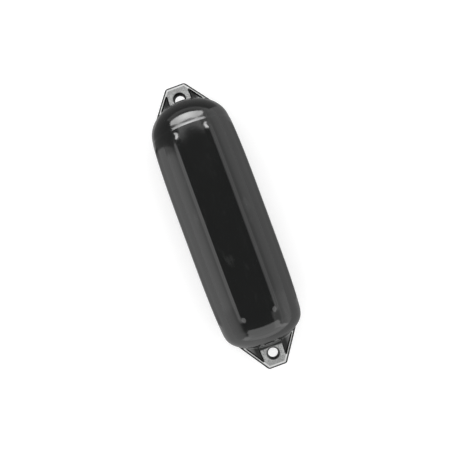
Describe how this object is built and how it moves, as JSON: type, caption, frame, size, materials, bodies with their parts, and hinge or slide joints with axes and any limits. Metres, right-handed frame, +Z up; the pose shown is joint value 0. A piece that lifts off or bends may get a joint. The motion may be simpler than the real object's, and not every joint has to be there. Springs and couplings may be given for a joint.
{
  "type": "pneumatic fender",
  "caption": "Inflatable cylindrical boat fender with lengthwise ribs, domed ends, a flat rope eye at each end and a screw valve.",
  "frame": {"origin": "the middle of the lowest line of the barrel, where the fender lies on the ground", "axes": "+Y along the fender's axis towards the end with the valve, +Z up from the ground; the rope eyes are level"},
  "size_m": [0.1598, 0.55, 0.1598],
  "materials": {
    "hull_vinyl": "gloss",
    "valve_nylon": "satin",
    "seal_rubber": "matte"
  },
  "bodies": {
    "root": {"fender_hull": "hull_vinyl", "valve_bush": "valve_nylon", "valve_plug": "valve_nylon", "valve_seal": "seal_rubber"}
  },
  "joints": []
}
